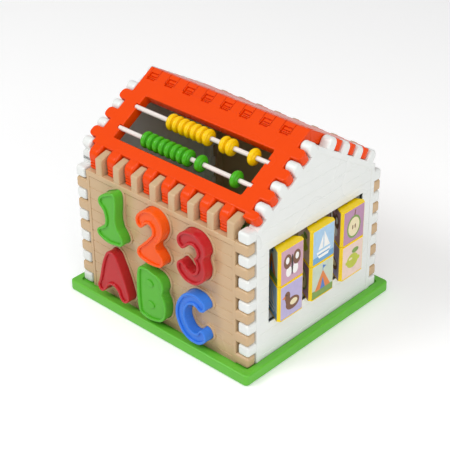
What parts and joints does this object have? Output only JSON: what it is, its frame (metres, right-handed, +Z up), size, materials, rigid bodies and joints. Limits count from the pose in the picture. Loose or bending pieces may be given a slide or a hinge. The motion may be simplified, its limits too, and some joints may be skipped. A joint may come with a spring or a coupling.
{
  "type": "shape sorter",
  "caption": "Toy house shape sorter with interlocking finger-jointed panels, push-through numbers and letters, an abacus roof and a window of turning picture blocks.",
  "frame": {"origin": "centre of the tray's footprint on the ground", "axes": "+Z up, +X along the roof ridge towards the gable with the picture blocks, -Y towards the wall with the numbers and letters"},
  "size_m": [0.2588, 0.2294, 0.2326],
  "materials": {
    "wall_beige": "satin moulded plastic",
    "gable_white": "satin moulded plastic",
    "roof_orange": "satin moulded plastic",
    "tray_green": "satin moulded plastic",
    "block_yellow": "satin moulded plastic",
    "bead_yellow": "satin moulded plastic",
    "bead_green": "satin moulded plastic",
    "glyph_green": "satin moulded plastic",
    "glyph_orange": "satin moulded plastic",
    "glyph_red": "satin moulded plastic",
    "glyph_blue": "satin moulded plastic",
    "rod_white": "satin moulded plastic",
    "rod_steel": "ground steel"
  },
  "bodies": {
    "house": {"base_tray": "tray_green", "front_wall": "wall_beige", "back_wall": "wall_beige", "right_gable": "gable_white", "left_gable": "gable_white", "front_roof": "roof_orange", "back_roof": "roof_orange", "abacus_rod_upper": "rod_white", "abacus_rod_lower": "rod_white", "block_rod_left": "rod_steel", "block_rod_centre": "rod_steel", "block_rod_right": "rod_steel"},
    "number_one": {"number_one": "glyph_green"},
    "number_two": {"number_two": "glyph_orange"},
    "number_three": {"number_three": "glyph_red"},
    "letter_a": {"letter_a": "glyph_red"},
    "letter_b": {"letter_b": "glyph_green"},
    "letter_c": {"letter_c": "glyph_blue"},
    "picture_block_upper_left": {"picture_block_upper_left": "block_yellow"},
    "picture_block_upper_centre": {"picture_block_upper_centre": "block_yellow"},
    "picture_block_upper_right": {"picture_block_upper_right": "block_yellow"},
    "picture_block_lower_left": {"picture_block_lower_left": "block_yellow"},
    "picture_block_lower_centre": {"picture_block_lower_centre": "block_yellow"},
    "picture_block_lower_right": {"picture_block_lower_right": "block_yellow"},
    "yellow_train": {"yellow_bead_1": "bead_yellow", "yellow_bead_2": "bead_yellow", "yellow_bead_3": "bead_yellow", "yellow_bead_4": "bead_yellow", "yellow_bead_5": "bead_yellow", "yellow_bead_6": "bead_yellow", "yellow_bead_7": "bead_yellow"},
    "yellow_pair": {"yellow_bead_8": "bead_yellow", "yellow_bead_9": "bead_yellow"},
    "yellow_end": {"yellow_bead_10": "bead_yellow"},
    "green_train": {"green_bead_1": "bead_green", "green_bead_2": "bead_green", "green_bead_3": "bead_green", "green_bead_4": "bead_green", "green_bead_5": "bead_green", "green_bead_6": "bead_green", "green_bead_7": "bead_green", "green_bead_8": "bead_green"},
    "green_middle": {"green_bead_9": "bead_green"},
    "green_end": {"green_bead_10": "bead_green"}
  },
  "joints": [
    {"name": "number_one_push", "type": "slide", "parent": "house", "child": "number_one", "axis": [0, -1, 0], "range_m": [-0.0275, 0.03]},
    {"name": "number_two_push", "type": "slide", "parent": "house", "child": "number_two", "axis": [0, -1, 0], "range_m": [-0.0275, 0.03]},
    {"name": "number_three_push", "type": "slide", "parent": "house", "child": "number_three", "axis": [0, -1, 0], "range_m": [-0.0275, 0.03]},
    {"name": "letter_a_push", "type": "slide", "parent": "house", "child": "letter_a", "axis": [0, -1, 0], "range_m": [-0.0275, 0.03]},
    {"name": "letter_b_push", "type": "slide", "parent": "house", "child": "letter_b", "axis": [0, -1, 0], "range_m": [-0.0275, 0.03]},
    {"name": "letter_c_push", "type": "slide", "parent": "house", "child": "letter_c", "axis": [0, -1, 0], "range_m": [-0.0275, 0.03]},
    {"name": "turn_upper_left", "type": "hinge", "parent": "house", "child": "picture_block_upper_left", "pos_m": [0.11729, -0.0481, 0.1135], "axis": [0, 0, 1], "continuous": true},
    {"name": "turn_upper_centre", "type": "hinge", "parent": "house", "child": "picture_block_upper_centre", "pos_m": [0.11729, 0, 0.1135], "axis": [0, 0, 1], "continuous": true},
    {"name": "turn_upper_right", "type": "hinge", "parent": "house", "child": "picture_block_upper_right", "pos_m": [0.11729, 0.0481, 0.1135], "axis": [0, 0, 1], "continuous": true},
    {"name": "turn_lower_left", "type": "hinge", "parent": "house", "child": "picture_block_lower_left", "pos_m": [0.11729, -0.0481, 0.0722], "axis": [0, 0, 1], "continuous": true},
    {"name": "turn_lower_centre", "type": "hinge", "parent": "house", "child": "picture_block_lower_centre", "pos_m": [0.11729, 0, 0.0722], "axis": [0, 0, 1], "continuous": true},
    {"name": "turn_lower_right", "type": "hinge", "parent": "house", "child": "picture_block_lower_right", "pos_m": [0.11729, 0.0481, 0.0722], "axis": [0, 0, 1], "continuous": true},
    {"name": "yellow_train_slide", "type": "slide", "parent": "house", "child": "yellow_train", "axis": [1, 0, 0], "range_m": [-0.0453, 0.0071]},
    {"name": "yellow_pair_slide", "type": "slide", "parent": "house", "child": "yellow_pair", "axis": [1, 0, 0], "range_m": [-0.0071, 0.0104]},
    {"name": "yellow_end_slide", "type": "slide", "parent": "house", "child": "yellow_end", "axis": [1, 0, 0], "range_m": [-0.0104, 0.0122]},
    {"name": "green_train_slide", "type": "slide", "parent": "house", "child": "green_train", "axis": [1, 0, 0], "range_m": [-0.0327, 0.0041]},
    {"name": "green_middle_slide", "type": "slide", "parent": "house", "child": "green_middle", "axis": [1, 0, 0], "range_m": [-0.0041, 0.0192]},
    {"name": "green_end_slide", "type": "slide", "parent": "house", "child": "green_end", "axis": [1, 0, 0], "range_m": [-0.0192, 0.0131]}
  ]
}
